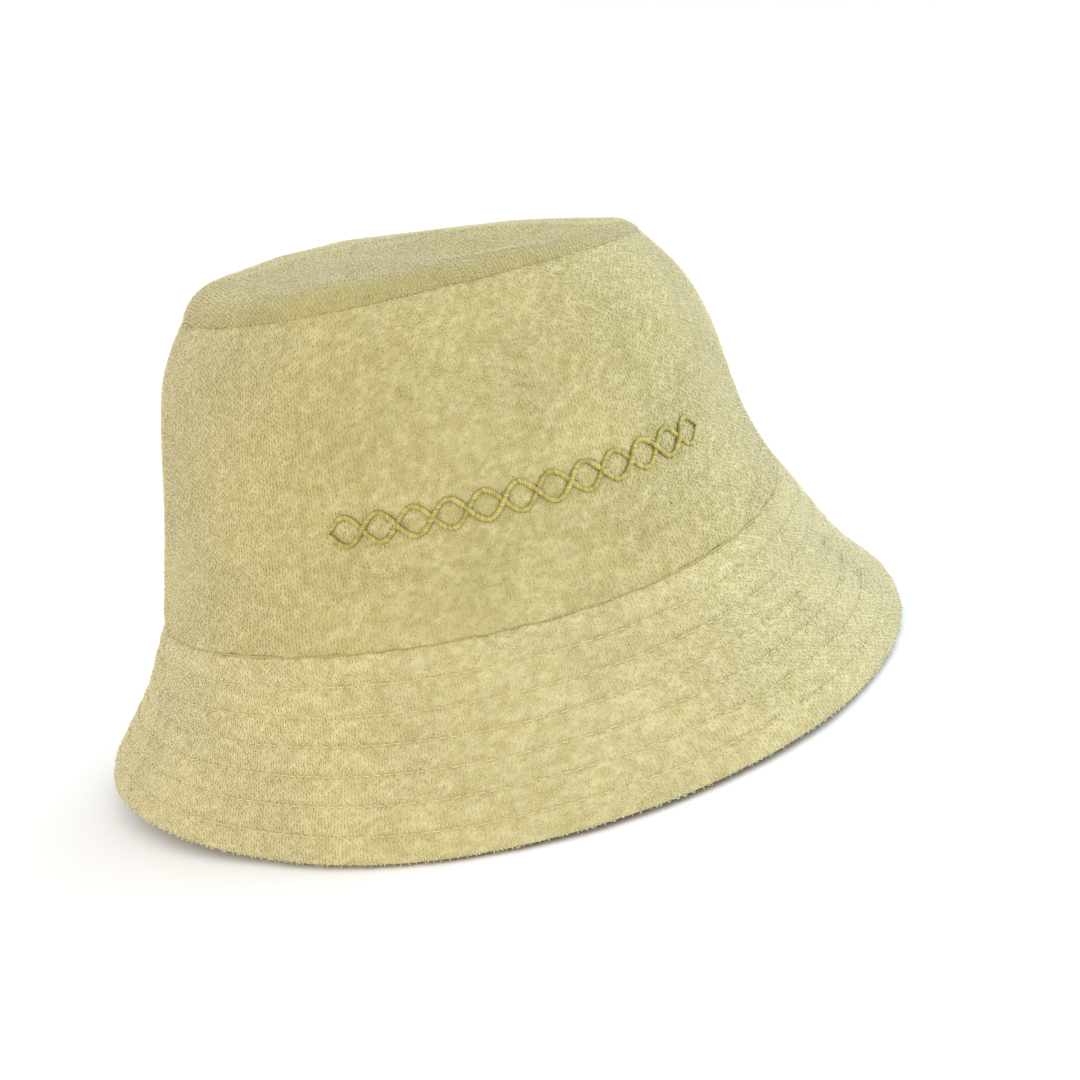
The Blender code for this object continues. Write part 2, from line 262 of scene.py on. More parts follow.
def cloth_panel(name, face, back, pile=None, grain=None):
    """A closed cloth panel from its face, rows upwards, and its back, rows in the same order.

    The profile up the face and down the back is carried along the columns, and both ends are
    shut. pile holds a value for each point of the face, and grain the cloth's own
    coordinates in metres, from which a weave is drawn.
    """
    rows, columns = face.shape[:2]
    points = np.concatenate([face, back[::-1]])
    quads, bake = grid_faces(len(points), columns, closed_rows=True)
    front = np.arange(rows)
    behind = rows + len(back) - 1 - np.round(front * (len(back) - 1) / (rows - 1)).astype(int)
    ends = []
    for column, order in ((0, [0, 1, 2, 3]), (columns - 1, [3, 2, 1, 0])):
        strip = np.stack([front[:-1], front[1:], behind[1:], behind[:-1]], axis=-1)
        ends.append((strip * columns + column)[:, order])
    caps = np.concatenate(ends)
    same = (caps[:, 2] == caps[:, 3]) | (caps[:, 0] == caps[:, 1])
    quad_caps, thin = caps[~same], caps[same]
    triangles = np.where(
        (thin[:, 2] == thin[:, 3])[:, None], thin[:, [0, 1, 2]], thin[:, [1, 2, 3]]
    )
    cap_map = np.tile(HIDDEN_CORNER, (len(quad_caps), 1, 1))
    values = None
    if pile is not None:
        values = {"pile": np.concatenate([pile.ravel(), np.full(back[..., 0].size, BACK_TONE)])}
    weave = None
    if grain is not None:
        both = np.concatenate([grain[0], grain[1][::-1]]).reshape(-1, 2)
        weave = np.concatenate([both[quads], np.zeros((len(quad_caps), 4, 2))])
    return new_piece(
        name,
        points.reshape(-1, 3),
        np.concatenate([quads, quad_caps]),
        np.concatenate([bake, cap_map]),
        triangles,
        values,
        weave,
    )


def strand_height(turn_angle, side):
    """Height of an embroidered strand above the embroidery's middle line: a sine wave."""
    phase = (turn_angle - FRONT + EMBROIDERY_HALF_ANGLE) / (2 * EMBROIDERY_HALF_ANGLE)
    return side * EMBROIDERY_WAVE * np.sin(TURN * EMBROIDERY_REPEATS * phase)


def stitched_press(angle, share):
    """How far the satin stitches press the pile down, from 0 to 1: 1 on a strand's line and
    fading over a millimetre beside it."""
    up = share * WALL_HEIGHT - EMBROIDERY_LIFT
    wave_length = 2 * EMBROIDERY_HALF_ANGLE * BASE_HALF_LENGTH / EMBROIDERY_REPEATS
    press = np.zeros(np.broadcast_shapes(angle.shape, share.shape))
    inside = np.abs(angle - FRONT) < EMBROIDERY_HALF_ANGLE
    for side in (1, -1):
        rise = strand_height(angle, side)
        slope = TURN * np.sqrt(np.clip(EMBROIDERY_WAVE**2 - rise**2, 0, None)) / wave_length
        distance = np.abs(up - rise) / np.sqrt(1 + slope**2)
        near = bell(distance, 0.72 * EMBROIDERY_WIDTH, 4)
        press = np.maximum(press, near * inside)
    return press


def srgb(code):
    """A hex colour turned into linear light."""
    parts = np.array([int(code[k : k + 2], 16) / 255 for k in (1, 3, 5)])
    light = np.where(parts <= 0.04045, parts / 12.92, ((parts + 0.055) / 1.055) ** 2.4)
    return (*light, 1.0)


def new_material(name):
    """An empty node material: its node tree and its shader."""
    material = bpy.data.materials.new(name)
    material.use_nodes = True
    return material, material.node_tree, material.node_tree.nodes["Principled BSDF"]


def add(tree, kind, links=None, colours=(), give=0, **settings):
    """Adds a node, and gives its output of this name or number.

    settings are the node's own properties. links give each input, by name or number, a value or
    another node's output. colours are the places and hex colours of a colour ramp.
    """
    node = tree.nodes.new(kind)
    for key, value in settings.items():
        setattr(node, key, value)
    for key, value in (links or {}).items():
        if isinstance(value, bpy.types.NodeSocket):
            tree.links.new(value, node.inputs[key])
        else:
            node.inputs[key].default_value = value
    for k, (where, code) in enumerate(colours):
        node.color_ramp.elements[k].position = where
        node.color_ramp.elements[k].color = srgb(code)
    return node.outputs[give]


def cloth_look(tree, shader, colour, height, strength, depth):
    """Links a colour to the shader, and a bump of this depth in metres from a height."""
    relief = {"Height": height, "Strength": strength, "Distance": depth}
    tree.links.new(colour, shader.inputs["Base Color"])
    tree.links.new(add(tree, "ShaderNodeBump", relief), shader.inputs["Normal"])


def stand_for(piece, material, node):
    """Gives a finished piece its material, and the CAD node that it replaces."""
    piece.data.materials.append(material)
    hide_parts(node)


# Terry towelling: matt cotton loops. The pile value paints light and shade into the colour: the
# tops of the loops light, as painted highlight, and their feet and the knitted ground between them
# a deeper olive yellow, as painted shade. Loose fibre ends give a whitish sheen at glancing angles.
terry, tree, shader = new_material("terry_towelling")
DYE_PATCH, YARN_FLECK, FIBRE = 22.2 * MM, 0.435 * MM, 0.303 * MM
place = add(tree, "ShaderNodeTexCoord", give="Object")
pile = add(tree, "ShaderNodeAttribute", give="Fac", attribute_name="pile")
# the ramp runs from painted shade, at loop feet and ground, to painted light, at loop tops
lit_and_shaded_colours = ((0.0, "#afa35c"), (1.0, "#f0e7b8"))
lit_and_shaded_colour = add(tree, "ShaderNodeValToRGB", {"Fac": pile}, lit_and_shaded_colours)
shades = []
for patch, detail, rough, weakest, strongest in (
    (DYE_PATCH, 3.0, 0.55, 0.94, 1.05),
    (YARN_FLECK, 2.0, 0.5, 0.9, 1.1),
):
    noise = {"Vector": place, "Scale": 1 / patch, "Detail": detail, "Roughness": rough}
    uneven = {"Value": add(tree, "ShaderNodeTexNoise", noise), "From Min": 0.3, "From Max": 0.7}
    uneven.update({"To Min": weakest, "To Max": strongest})
    shades.append(add(tree, "ShaderNodeMapRange", uneven))
shade = add(tree, "ShaderNodeMath", {0: shades[0], 1: shades[1]}, operation="MULTIPLY")
dyed = add(tree, "ShaderNodeVectorMath", {0: lit_and_shaded_colour, "Scale": shade}, operation="SCALE")
noise = {"Vector": place, "Scale": 1 / FIBRE, "Detail": 3.0, "Roughness": 0.7}
cloth_look(tree, shader, dyed, add(tree, "ShaderNodeTexNoise", noise), 0.55, 0.16 * MM)
shader.inputs["Roughness"].default_value = 0.95
shader.inputs["Specular IOR Level"].default_value = 0.15
shader.inputs["Sheen Weight"].default_value = 0.5
shader.inputs["Sheen Roughness"].default_value = 0.45
shader.inputs["Sheen Tint"].default_value = srgb("#eef4ff")

LOOP_ACROSS, LOOP_UP, LOOP_TALL = 0.95 * MM, 1.0 * MM, 0.4 * MM
MOST_LOOPS = 14000  # in one piece


def gathers(angle, run, cells, fade, seed):
    """Puckers beside a seam, from -1 to 1, that fade with the distance from it."""
    return lumps(angle, 0 * run, cells, 9 * MM, seed) * np.exp(-run / fade)


def base_roll(run):
    """How deep the outer cloth rolls in beside the base seam, and sinks towards it."""
    return edge_roll(run + 0.05 * MM, 1.1 * MM) + 0.45 * MM * bell(run, 2.4 * MM)


def crown_cloth(angle, run):
    """The knitted ground of the crown side, at this distance up from the base seam.

    It rolls in at its seams, puckers above the base seam, and sinks under the embroidery.
    """
    rolls = base_roll(run) + edge_roll(WALL_SLANT - run + 0.05 * MM, 0.7 * MM) + side_dip(angle)
    pucker = gathers(angle, run, 70, 3.4 * MM, 31) + gathers(angle, run, 190, 1.8 * MM, 32)
    share = run / WALL_SLANT
    press = stitched_press(angle, share)
    return crown_side(angle, share, PILE + rolls - 0.4 * MM * pucker + 0.15 * MM * press)


def crown_free(angle, run):
    """How freely the loops stand on the crown side: 0 under the satin stitches, less beside the
    base seam, and 1 elsewhere. Loops that stand less freely are also painted darker, as shade."""
    return (1 - stitched_press(angle, run / WALL_SLANT)) * (1 - 0.5 * bell(run, 1.5 * MM))


def scattered(width, length, random, across=LOOP_ACROSS, up=LOOP_UP):
    """Places of loops on a cloth of this width and length: upright columns of loops, every
    second column moved by half a loop, and each place moved a little."""
    rows, columns = round(length / up), round(width / across)
    i, j = np.meshgrid(np.arange(rows), np.arange(columns), indexing="ij")
    x = (j + 0.5) / columns * width + random.normal(0, 0.13, i.shape) * across
    y = (i + 0.25 + 0.5 * (j % 2)) / rows * length + random.normal(0, 0.2, i.shape) * up
    return x.ravel(), y.ravel()


def grow_loops(name, cloth, angle, run, free, seed, painted_light_level):
    """Loops of the pile on a cloth: each an arch of yarn with a three-sided section.

    cloth gives the ground's points for angles and distances along it. An arch stands on two feet
    on the ground, in the plane of the knitted column, turned and tilted at random, and more so in
    brushed patches. Its pile value paints shade: its feet darker than its top, and the whole loop
    darker where it stands less freely, in the stitch grooves, tucks and crease, beside the base
    seam and under the embroidery. The light level given for the piece paints all its loops lighter
    or darker, as painted light.
    """
    random = np.random.default_rng(seed)
    here = cloth(angle, run)
    across = cloth(angle + 0.002, run) - here
    upward = cloth(angle, run + 0.15 * MM) - here
    normal, upward = unit(np.cross(across, upward)), unit(upward)
    across = np.cross(upward, normal)
    brushed = np.clip(lumps(angle, run, 24, 15 * MM, 7) * 1.8, 0, 1)
    turn = random.normal(0, 0.32 + 0.7 * brushed)
    forward = upward * np.cos(turn)[:, None] + across * np.sin(turn)[:, None]
    side = np.cross(forward, normal)
    height = LOOP_TALL * random.uniform(0.7, 1.15, len(angle)) * (0.35 + 0.65 * free)
    reach = random.uniform(0.28, 0.42, len(angle)) * MM * (1 + 0.3 * brushed)
    tilt = random.normal(0, 0.38, len(angle)) + 0.5 * brushed * random.normal(0, 1, len(angle))
    slump = random.normal(-0.15, 0.3, len(angle))
    yarn = random.uniform(0.12, 0.16, len(angle)) * MM
    top = (
        normal * height[:, None]
        + side * (height * tilt)[:, None]
        + forward * (reach * slump)[:, None]
    )
    feet = forward * reach[:, None]
    sunk = normal * 0.08 * MM
    spine = np.stack([here - feet - sunk, here + top, here + feet - sunk], axis=1)
    section = np.linspace(0, TURN, 4)[:-1] + math.pi / 2
    first_out = np.stack([-forward, normal, forward], axis=1)
    points = spine[:, :, None] + yarn[:, None, None, None] * (
        np.sin(section)[None, None, :, None] * first_out[:, :, None]
        + np.cos(section)[None, None, :, None] * side[:, None, None]
    )
    count = len(angle)
    quads, bake = grid_faces(3, 3, closed_columns=True)
    ends = np.array([[0, 2, 1], [6, 7, 8]])
    offset = np.arange(count)[:, None, None] * 9
    wide = int(math.ceil(count**0.5))
    tile = np.stack([np.arange(count) % wide, np.arange(count) // wide], -1)[:, None, None] / wide
    # painted light and shade: the piece's light level, lower where loops stand less freely, and the
    # feet at 0.8 of the top
    tone = (painted_light_level + random.uniform(-0.2, 0.05, count))[:, None] * (0.3 + 0.7 * free)[:, None]
    tone = tone * np.repeat([0.8, 1.0, 0.8], 3)
    loops = new_piece(
        name,
        points.reshape(-1, 3),
        (quads[None] + offset).reshape(-1, 4),
        (bake[None] * 0.9 / wide + tile).reshape(-1, 4, 2),
        (ends[None] + offset).reshape(-1, 3),
        {"pile": tone.ravel()},
    )
    loops.data.materials.append(terry)
    return loops


def pile_pieces(name, cloth, angle, run, free, seed, painted_light_level=0.92):
    """The loops of one cloth, shared out among pieces that are not too large, column by column."""
    kept = np.random.default_rng(seed + 500).uniform(0, 1, len(angle)) < free * 3
    angle, run, free = angle[kept], run[kept], free[kept]
    order = np.argsort(angle, kind="stable")
    parts = np.array_split(order, math.ceil(len(order) / MOST_LOOPS))
    return [
        grow_loops(f"{name}_{k}", cloth, angle[p], run[p], free[p], seed + k, painted_light_level)
        for k, p in enumerate(parts, 1)
    ]


WALL_MIDDLE_HALF = 240 * MM  # half a turn at the middle of the crown's height
wall_run = rolled_rows(WALL_SLANT, 0.9 * MM, 0.9 * MM, 0.9 * MM)[0][:, None]
for half, start in (("front", -math.pi), ("back", 0.0)):
    angle = np.linspace(start, start + math.pi, 301)[None, :]
    face = crown_cloth(angle, wall_run)
    inner_share = np.linspace(0.004, 0.996, 9)[:, None]
    inner = crown_side(angle, inner_share, TERRY + 0.6 * MM * (2 * inner_share - 1) ** 8)
    # the ground between the loops, painted dark as shade, with random mottling
    ground_shade_and_mottle = 0.26 + 0.2 * lumps(angle, wall_run, 300, 1.1 * MM, 5)
    panel = cloth_panel(f"crown_{half}_panel", face, inner, ground_shade_and_mottle)
    stand_for(panel, terry, f"crown_{half}")
    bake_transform(panel)
    random = np.random.default_rng(111 if half == "front" else 112)
    place, run = scattered(WALL_MIDDLE_HALF, WALL_SLANT, random)
    angle = start + place / WALL_MIDDLE_HALF * math.pi
    seed = 1100 if half == "front" else 1200
    pile = pile_pieces(f"crown_{half}_pile", crown_cloth, angle, run, crown_free(angle, run), seed)
    for loops in pile:
        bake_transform(loops)

# Tip of the crown.
# One oval of the same terry, sewn to the top of the crown side. The seam lies at the upper edge,
# and the cloth turns over a soft corner and domes a little, with a shallow dent near the front.
# the tip's ground between the loops, painted dark as shade
TIP_GROUND_SHADE = 0.15
TIP_DOME = 10.4 * MM
TIP_ROLL = 0.7 * MM
CORNER_START, CORNER_END = math.radians(20), math.radians(83)
CORNER_SIZE = 9.7
CORNER_RISE = 0.86
TIP_RADIUS = 64.0 * MM
TIP_CUT = (62 * MM, 77 * MM)  # half the width and length of the cut, laid flat


def tip_cover(angle, run, depth=0.0):
    """The tip at this distance in from its seam: a soft corner, then a low dome.

    It starts from the top of the crown side. The corner is a quarter of an oval, rounder on the
    left, and each point then closes on the middle in proportion while the cloth rises.
    """
    angle, run = np.broadcast_arrays(angle, run)
    seam = crown_side(angle, np.ones_like(angle), 0.0)
    inner = crown_side(angle, np.ones_like(angle), 10 * MM)
    inward = (inner - seam)[..., :2] / (10 * MM)
    corner = waves(angle, CORNER_SIZE, (-2.2, 0.9))
    corner_length = corner * (CORNER_END - CORNER_START)
    turn = CORNER_START + np.clip(run / corner_length, 0, 1) * (CORNER_END - CORNER_START)
    inset = corner * (math.cos(CORNER_START) - np.cos(turn)) + depth * np.cos(turn)
    x = seam[..., 0] + inward[..., 0] * inset
    y = seam[..., 1] + inward[..., 1] * inset
    z = seam[..., 2] + CORNER_RISE * corner * (np.sin(turn) - math.sin(CORNER_START))
    z = z - depth * np.sin(turn)
    share = np.clip((run - corner_length) / (TIP_RADIUS - corner_length), 0, 1)
    middle_x, middle_y = TIP_MIDDLE
    mean_corner = CORNER_RISE * CORNER_SIZE * MM * (math.sin(CORNER_END) - math.sin(CORNER_START))
    middle_z = SEAM_Z + WALL_HEIGHT + mean_corner - depth
    rise = (TIP_DOME - mean_corner) * (1 - (1 - share) ** 2)
    x, y = x * (1 - share) + middle_x * share, y * (1 - share) + middle_y * share
    z = z * (1 - share) + middle_z * share + rise
    dent = bell(x - 14 * MM, 15 * MM) * bell(y + 44 * MM, 8 * MM)
    over_tip = (x / (400 * MM) + 0.5) * TURN
    soft = lumps(over_tip, y, 16, 23 * MM, 21) * np.clip(run / (12 * MM), 0, 1)
    fine = lumps(over_tip, y, 44, 9 * MM, 22) * np.clip(run / (6 * MM), 0, 1)
    z = z - 2.2 * MM * dent + 0.6 * MM * soft + 0.25 * MM * fine
    return np.stack([x, y, z], axis=-1)


def square_to_disc(a, b):
    """A square drawn over an oval without a pole: the angle, and the share out from the middle.
    A point (a, b) of the square goes to (a root(1 - b b / 2), b root(1 - a a / 2))."""
    x, y = a * np.sqrt(1 - b**2 / 2), b * np.sqrt(1 - a**2 / 2)
    return np.arctan2(y, x), np.clip(np.hypot(x, y), 0, 1)


def tip_cloth(angle, run):
    """The knitted ground of the tip, which rolls in at its seam."""
    roll = edge_roll(run + 0.05 * MM, TIP_ROLL)
    return tip_cover(angle, run, PILE + roll - 0.35 * MM * gathers(angle, run, 76, 3.0 * MM, 33))


def square_rim(rows, columns):
    """The numbers of the points round the rim of a grid, counter-clockwise."""
    number = np.arange(rows * columns).reshape(rows, columns)
    return np.concatenate([number[0, :-1], number[:-1, -1], number[-1, :0:-1], number[:0:-1, 0]])


tip_angle, out_share = square_to_disc(
    np.linspace(-1, 1, 131)[None, :], np.linspace(-1, 1, 161)[:, None]
)
face = tip_cloth(tip_angle, TIP_RADIUS * (1 - out_share))
rows, columns = face.shape[:2]
rim = square_rim(rows, columns)
rim_angle = tip_angle.ravel()[rim]
under_rows = [tip_cover(rim_angle, run * MM, TERRY) for run in (0.2, 6.0, 18.0, 36.0, 52.0)]
pole = tip_cover(np.zeros(1), TIP_RADIUS * np.ones(1), TERRY)
points = np.concatenate([face.reshape(-1, 3), *under_rows, pole])
quads, bake = grid_faces(rows, columns)
count = len(rim)
below = rows * columns + np.arange(len(under_rows) * count).reshape(-1, count)
rings = np.concatenate([rim[None], below])
here, over = rings[:-1], rings[1:]
next_here, next_over = np.roll(here, -1, axis=1), np.roll(over, -1, axis=1)
under = np.stack([here, over, next_over, next_here], axis=-1).reshape(-1, 4)
under_map = np.tile(HIDDEN_CORNER, (len(under), 1, 1))
last = rings[-1]
fan = np.stack([last, np.full(count, len(points) - 1), np.roll(last, -1)], axis=-1)
tip_panel = new_piece(
    "crown_tip_panel",
    points,
    np.concatenate([quads, under]),
    np.concatenate([bake, under_map]),
    fan,
    {"pile": np.full(len(points), TIP_GROUND_SHADE)},
)
stand_for(tip_panel, terry, "crown_top")
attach(tip_panel, "tip")
random = np.random.default_rng(113)
x, y = scattered(2 * TIP_CUT[0], 2 * TIP_CUT[1], random)
x, y = x / TIP_CUT[0] - 1, y / TIP_CUT[1] - 1
kept = np.hypot(x, y) < 0.995
angle, run = np.arctan2(y, x)[kept], TIP_RADIUS * (1 - np.hypot(x, y)[kept])
# the tip's loops get a lower light level than the crown's, as painted shade on the top
tip_pile = pile_pieces("crown_tip_pile", tip_cloth, angle, run, np.ones(len(angle)), 1300, 0.8)
for loops in tip_pile:
    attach(loops, "tip")

# Brim: outer cloth, interlining and under cloth.
# Two half rings of terry on each face with a stiff non-woven between them, sewn together along the
# outer edge, turned, and quilted by six rows of stitching that sink between puffed channels.
BRIM_SLOPE = 43.6 * MM
BRIM_ROWS = 7
BRIM_RADIUS = 100 * MM  # about what turns an angle into a distance round the brim
EDGE_DEPTH, EDGE_TURN = 1.725 * MM, 1.3 * MM
UNDER_DEPTH = 4.7 * MM  # from the outer cloth's face to the under cloth's
STITCH_PITCH = 2.7 * MM
TUCKS = ((-0.55, 3.0), (-0.54, 3.95), (-0.53, 4.85))  # angle, and place among the stitch rows
CREASE = (-2.25, 0.15)  # angle, and share of the slope


def brim_layer(angle, share, depth=0.0):
    """The brim at a share of its slope, 0 at the base seam and 1 at the edge, at a depth.

    The base oval is widened and lowered in proportion, with a bow across the slope. Flare, drop
    and bow differ round the hat, because the soft brim droops at front and rear.
    """
    flare = waves(angle, 21.7, (1.4, 3.0), (-0.1, -1.9), (-0.3, 3.1))
    drop = waves(angle, 38.6, (0.6, -2.1), (-1.2, 0.1), (0.5, -1.2))
    slope = np.hypot(flare, drop)
    soft = np.sin(math.pi * np.clip(share, 0, 1) * 0.5)
    slack = soft * 0.5 * MM * lumps(angle, share * BRIM_SLOPE, 22, 21 * MM, 41)
    bow = waves(angle, -2.5, (0, -0.1), (-0.2, -0.6)) * np.sin(math.pi * share) + slack
    bow = bow + waves(angle, -0.2, (0.5, 0.6), (0.1, 0.1)) * np.sin(TURN * share)
    out = flare * share + bow * drop / slope - seam_notch(angle, share) - depth * slope / drop
    x, y = oval(angle, BASE_HALF_WIDTH, BASE_HALF_LENGTH, out)
    z = SEAM_Z - drop * share + bow * flare / slope + seam_sway(angle) * (1 - share)
    return np.stack(np.broadcast_arrays(x, y, z), axis=-1)


def needle_angles(path, pitch):
    """Angles round a closed row at which the needle went through, a stitch length apart.

    path gives the row's points for an array of angles.
    """
    fine = np.linspace(0, TURN, 2881)
    lengths = np.linalg.norm(np.diff(path(fine), axis=0), axis=1)
    run = np.concatenate([[0], np.cumsum(lengths)])
    count = round(run[-1] / pitch)
    return np.interp(np.linspace(0, run[-1], count + 1), run, fine)


row_needles = [
    needle_angles(lambda a, k=k: brim_layer(a, np.full_like(a, k / BRIM_ROWS)), STITCH_PITCH)
    for k in range(1, BRIM_ROWS)
]


def nearest_row(share):
    """The place counted in stitch rows, the nearest row, and the distance from it."""
    place = share * BRIM_ROWS
    nearest = np.clip(np.round(place), 1, BRIM_ROWS - 1)
    return place, nearest, np.abs(place - nearest) * BRIM_SLOPE / BRIM_ROWS


def quilting(angle, share):
    """Height of the quilted cloth: puffed between two stitch rows, and pulled down along each
    row, most of all where the needle went through."""
    place, nearest, distance = nearest_row(share)
    puff = 0.3 * MM * np.abs(np.sin(math.pi * place)) ** 0.7
    puff = puff * np.clip(place / 0.4, 0, 1) * np.clip((BRIM_ROWS - place) / 0.6, 0, 1)
    groove = -0.32 * MM * bell(distance, 0.75 * MM)
    hole = np.zeros_like(groove)
    for k, needles in enumerate(row_needles, 1):
        stitch = np.interp(np.mod(angle, TURN), needles, np.arange(len(needles)))
        along = np.abs(stitch - np.round(stitch)) * STITCH_PITCH
        hole = hole + (nearest == k) * bell(along, 0.5 * MM)
    ripple = lumps(angle, share * BRIM_SLOPE, 150, 5.5 * MM, 43)
    return puff + groove * (0.75 + 0.5 * hole) + 0.13 * MM * ripple


def edge_curl(run):
    """Depth to which the cloth curls in at the brim's outer edge: a quarter of an oval."""
    inside = np.clip(1 - run / EDGE_TURN, 0, 1)
    return EDGE_DEPTH * (1 - np.sqrt(1 - inside**2))


def tucks(angle, share):
    """How deep the three small tucks at the right of the brim are, from 0 to 1."""
    depth = np.zeros(np.broadcast_shapes(np.shape(angle), np.shape(share)))
    for middle, row in TUCKS:
        around = angle_from(angle, middle) * BRIM_RADIUS
        along = (share - row / BRIM_ROWS) * BRIM_SLOPE
        depth = depth + bell(around, 3.6 * MM) * bell(along, 2.0 * MM)
    return depth


def crease(angle, share):
    """How deep a short slanting crease at the front left of the brim is, from 0 to 1."""
    around = angle_from(angle, CREASE[0]) * BRIM_RADIUS
    down = (share - CREASE[1]) * BRIM_SLOPE
    along, beside = 0.78 * around + 0.63 * down, 0.78 * down - 0.63 * around
    return bell(along, 4.6 * MM, 4) * bell(beside, 0.55 * MM)


def outer_cloth(angle, run):
    """The knitted ground of the brim's outer cloth, at this distance up from the edge."""
    share = 1 - run / BRIM_SLOPE
    from_seam = BRIM_SLOPE - run
    pucker = gathers(angle, from_seam, 70, 3.2 * MM, 31)
    pucker = pucker + gathers(angle, from_seam, 190, 1.8 * MM, 35)
    roll = edge_curl(run) + base_roll(from_seam) + side_dip(angle)
    folds = 0.7 * MM * tucks(angle, share) + 0.6 * MM * crease(angle, share)
    depth = PILE + roll - quilting(angle, share) - 0.35 * MM * pucker + folds
    return brim_layer(angle, share, depth)


def under_cloth(angle, run):
    """The knitted ground of the brim's under cloth, at this distance down from the base seam."""
    share = run / BRIM_SLOPE
    roll = edge_curl(BRIM_SLOPE - run) + edge_roll(run + 0.05 * MM, 0.9 * MM) + side_dip(angle)
    return brim_layer(angle, share, UNDER_DEPTH - PILE - roll + quilting(angle, share))


def quilted_free(angle, share):
    """How freely the loops stand on the brim: they are pressed down along each stitch row.
    Loops that stand less freely are also painted darker, as shade.
    """
    distance = nearest_row(share)[2]
    return (1 - 0.85 * bell(distance, 0.6 * MM)) * (1 - 0.5 * bell(share * BRIM_SLOPE, 1.5 * MM))


BRIM_MIDDLE_HALF = 305 * MM  # half a turn along the middle of the slope
down_run = rolled_rows(BRIM_SLOPE, 0.9 * MM, EDGE_TURN, 0.8 * MM)[0][:, None]
up_run = rolled_rows(BRIM_SLOPE, EDGE_TURN, 0.9 * MM, 0.55 * MM)[0][:, None]
for half, start in (("front", -math.pi), ("back", 0.0)):
    angle = np.linspace(start, start + math.pi, 421)[None, :]
    seed = 1400 if half == "front" else 1500
    for side, layer, cloth, run, back_ends, depth_back, thin in (
        ("outer", "upper", outer_cloth, up_run, (0.99, 0.006), TERRY + 0.3 * MM, 1.0),
        ("under", "under", under_cloth, down_run, (0.008, 0.99), UNDER_DEPTH - TERRY, 1.75),
    ):
        face = cloth(angle, run)
        inner = brim_layer(angle, np.linspace(*back_ends, 7)[:, None], depth_back)
        # the ground between the loops, painted dark as shade, with random mottling
        ground_shade_and_mottle = 0.4 + 0.2 * lumps(angle, run, 340, 1.1 * MM, 6)
        # painted deeper shade in the tucks
        if side == "outer":
            ground_shade_and_mottle = ground_shade_and_mottle * (1 - 0.7 * tucks(angle, 1 - run / BRIM_SLOPE))
        panel = cloth_panel(f"brim_{half}_{side}_cloth", face, inner, ground_shade_and_mottle)
        stand_for(panel, terry, f"brim_{layer}_{half}")
        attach(panel, "hat")
        random = np.random.default_rng(seed)
        place, run = scattered(
            BRIM_MIDDLE_HALF, BRIM_SLOPE, random, LOOP_ACROSS * thin, LOOP_UP * thin
        )
        spread = start + place / BRIM_MIDDLE_HALF * math.pi
        share = run / BRIM_SLOPE
        free = quilted_free(spread, share if side == "under" else 1 - share)
        if side == "outer":
            # in the tucks and the crease the loops stand lower and fewer, and are painted darker,
            # as shade
            free = free * (1 - 0.9 * tucks(spread, 1 - share))
            free = free * (1 - 0.7 * crease(spread, 1 - share))
        # both brim faces' loops get a higher light level than the crown's, as painted light
        pile = pile_pieces(f"brim_{half}_{side}_pile", cloth, spread, run, free, seed + 40, 1.22)
        for loops in pile:
            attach(loops, "hat")
        seed += 50


def cloth_ring(name, face, back, grain_scale=None):
    """A closed ring of cloth from its face and its back, both with rows upwards."""
    points = np.concatenate([face, back[::-1]])
    rows, columns = points.shape[:2]
    quads, bake = grid_faces(rows, columns, closed_rows=True, closed_columns=True)
    weave = bake * np.array(grain_scale) if grain_scale is not None else None
    return new_piece(name, points.reshape(-1, 3), quads, bake, weave=weave)


# Non-woven interlining: bonded fibres pressed flat, so it is white, matt and faintly mottled
nonwoven, tree, shader = new_material("nonwoven_interlining")
FIBRE_CLUMP = 1.11 * MM
place = add(tree, "ShaderNodeTexCoord", give="Object")
mottle = add(tree, "ShaderNodeTexNoise", {"Vector": place, "Scale": 1 / FIBRE_CLUMP, "Detail": 4.0})
tone = add(tree, "ShaderNodeValToRGB", {"Fac": mottle}, ((0.3, "#d9d6cb"), (0.7, "#f0eee6")))
cloth_look(tree, shader, tone, mottle, 0.4, 0.1 * MM)
shader.inputs["Roughness"].default_value = 0.9

ring_angle = np.linspace(0, TURN, 241)[:-1][None, :]
stiff_share = np.linspace(0.9, 0.02, 12)[:, None]
interlining = cloth_ring(
    "brim_interlining_ring",
    brim_layer(ring_angle, stiff_share, 2.15 * MM),
    brim_layer(ring_angle, stiff_share, 2.6 * MM),
)
stand_for(interlining, nonwoven, "brim_interlining")
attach(interlining, "hat")

# Seam threads and the six rows of stitching round the brim.
# Spun polyester thread, about 0.35 mm thick: a line in each seam's groove, and lockstitches
# 2.7 mm long on both faces of the brim, each with its two ends pulled into the cloth.
PLY = 0.385 * MM
threads = []
# the second is the same thread painted darker, as shade in the seam grooves
for name, dark, light in (
    ("spun_polyester_thread", "#d3c88e", "#eae1b2"),
    ("seam_thread_in_shade", "#a1944f", "#bfb370"),
):
    material, tree, shader = new_material(name)
    place = add(tree, "ShaderNodeTexCoord", give="Object")
    ply = add(tree, "ShaderNodeTexNoise", {"Vector": place, "Scale": 1 / PLY, "Detail": 1.0})
    tone = add(tree, "ShaderNodeValToRGB", {"Fac": ply}, ((0.3, dark), (0.7, light)))
    tree.links.new(tone, shader.inputs["Base Color"])
    shader.inputs["Roughness"].default_value = 0.55
    shader.inputs["Sheen Weight"].default_value = 0.15
    threads.append(material)
thread, seam_thread = threads


